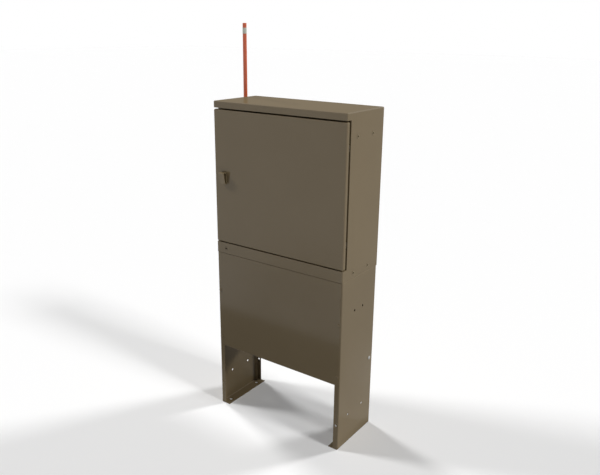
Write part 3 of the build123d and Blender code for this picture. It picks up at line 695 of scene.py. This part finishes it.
class CABINET_OT_welds(bpy.types.Operator):
    """Mark the spot welds along both feet of the door's stiffener"""

    bl_idname = "cabinet.welds"
    bl_label = "Spot Welds"

    def execute(self, context):
        detail = context.scene.cabinet_detail
        tree = weld_tree(NODES["door_stiffener"].material_slots[0].material)
        stiffener = NODES["door_stiffener"]
        heights = [(stiffener.matrix_world @ Vector(corner)).z for corner in stiffener.bound_box]
        points = [(side * FOOT_X, FOOT_Y, min(heights) + WELD_MARGIN) for side in (-1, 1)]
        sizes = {"Length": max(heights) - min(heights) - 2 * WELD_MARGIN, "Count": detail.weld_count}
        sizes |= {"Radius": detail.weld_radius, "Rise": detail.weld_rise}
        grow("stiffener_welds", tree, points, "door", "zinc_plate", **sizes)
        return {"FINISHED"}


class CABINET_OT_stage(bpy.types.Operator):
    """Lay the floor, hang the lamps and place the camera"""

    bl_idname = "cabinet.stage"
    bl_label = "Stage"

    def execute(self, context):
        stage = context.scene.cabinet_stage
        lay_floor(stage)
        hang_lamps(stage)
        light_world(context.scene, stage)
        place_camera(context.scene, stage)
        context.scene.view_settings.view_transform = "Standard"
        return {"FINISHED"}


def lay_floor(stage):
    """A wide flat floor at the height of the feet."""
    ground = CAD_BOUNDS[0].z
    mesh = bpy.data.meshes.new("floor")
    corners = [(x * FLOOR_HALF, y * FLOOR_HALF, ground) for x, y in ((-1, -1), (1, -1), (1, 1), (-1, 1))]
    mesh.from_pydata(corners, [], [(0, 1, 2, 3)])
    floor = bpy.data.objects.new("floor", mesh)
    bpy.context.scene.collection.objects.link(floor)
    floor.data.materials.append(floor_finish("studio_floor", tuple(stage.floor)))


def lamp(name, strength, towards, height, spread):
    """A distant lamp towards (x, y) at a height angle, out of mirrored rays; spread softens its shadows."""
    data = bpy.data.lights.new(name, "SUN")
    data.energy = strength
    data.angle = spread
    made = bpy.data.objects.new(name, data)
    made.visible_glossy = False
    bpy.context.scene.collection.objects.link(made)
    across = Vector(towards).normalized() * math.cos(height)
    made.rotation_euler = Vector((across.x, across.y, math.sin(height))).to_track_quat("Z", "Y").to_euler()


def hang_lamps(stage):
    """Four soft lamps, each with about a quarter of the floor's light."""
    places = {
        "lamp_right": ((1.0, -0.03), stage.right_height, 0.98),
        "lamp_back": ((0.5, 0.86), stage.back_height, 0.97),
        "lamp_left_front": ((-0.94, -0.34), stage.left_height, 1.03),
        "lamp_left_back": ((-0.956, 0.29), stage.left_height, 1.03),
    }
    for name, (towards, height, share) in places.items():
        lamp(name, stage.lamps * share / math.sin(height), towards, height, stage.softness)


def light_world(scene, stage):
    """Even light from all round; the camera and reflections see white."""
    world = bpy.data.worlds.new("studio")
    scene.world = world
    world.use_nodes = True
    graph = Graph(world.node_tree)
    background = world.node_tree.nodes["Background"]
    background.inputs["Color"].default_value = (1.0, 1.0, 1.0, 1.0)
    white = seen_directly(graph, "Is Glossy Ray", "Is Transmission Ray")
    strength = white * (1.0 - stage.sky) + stage.sky
    graph.tree.links.new(strength.socket, background.inputs["Strength"])


def place_camera(scene, stage):
    """The photograph's viewing angle."""
    data = bpy.data.cameras.new("camera")
    data.sensor_fit = "HORIZONTAL"
    data.sensor_width = 36.0
    data.lens = stage.focal_length
    data.clip_end = 200.0
    camera = bpy.data.objects.new("camera", data)
    scene.collection.objects.link(camera)
    right, up = Vector(CAMERA_RIGHT), Vector(CAMERA_UP)
    back = right.cross(up).normalized()
    turn = Matrix((right, up, back)).transposed().to_4x4()
    camera.matrix_world = Matrix.Translation(Vector(CAMERA_PLACE)) @ turn
    scene.camera = camera


class CABINET_PT_panel(bpy.types.Panel):
    """Lists the steps and their settings"""

    bl_idname = "CABINET_PT_panel"
    bl_label = "Utility Cabinet"
    bl_space_type = "VIEW_3D"
    bl_region_type = "UI"
    bl_category = "Cabinet"

    def draw(self, context):
        for group, operators in STEPS:
            box = self.layout.box()
            settings = getattr(context.scene, group)
            for name in settings.bl_rna.properties.keys():
                if name not in ("rna_type", "name"):
                    box.prop(settings, name)
            for operator in operators:
                box.operator(operator.bl_idname)


STEPS = (
    ("cabinet_finish", (CABINET_OT_paint, CABINET_OT_plate, CABINET_OT_inside)),
    ("cabinet_rod", (CABINET_OT_rod,)),
    ("cabinet_detail", (CABINET_OT_threads, CABINET_OT_welds)),
    ("cabinet_stage", (CABINET_OT_stage,)),
)
GROUPS = {
    "cabinet_finish": CabinetFinish, "cabinet_rod": RodFinish, "cabinet_detail": DetailSettings,
    "cabinet_stage": StageSettings,
}
OPERATORS = tuple(operator for _, operators in STEPS for operator in operators)


def register():
    for cls in (*GROUPS.values(), *OPERATORS, CABINET_PT_panel):
        bpy.utils.register_class(cls)
    for name, cls in GROUPS.items():
        setattr(bpy.types.Scene, name, PointerProperty(type=cls))


def unregister():
    for name in GROUPS:
        delattr(bpy.types.Scene, name)
    for cls in reversed((*GROUPS.values(), *OPERATORS, CABINET_PT_panel)):
        bpy.utils.unregister_class(cls)


def main():
    register()
    bpy.ops.cabinet.paint()
    bpy.ops.cabinet.plate()
    bpy.ops.cabinet.inside()
    bpy.ops.cabinet.rod()
    bpy.ops.cabinet.threads()
    bpy.ops.cabinet.welds()
    bpy.ops.cabinet.stage()


if __name__ == "__main__":
    main()
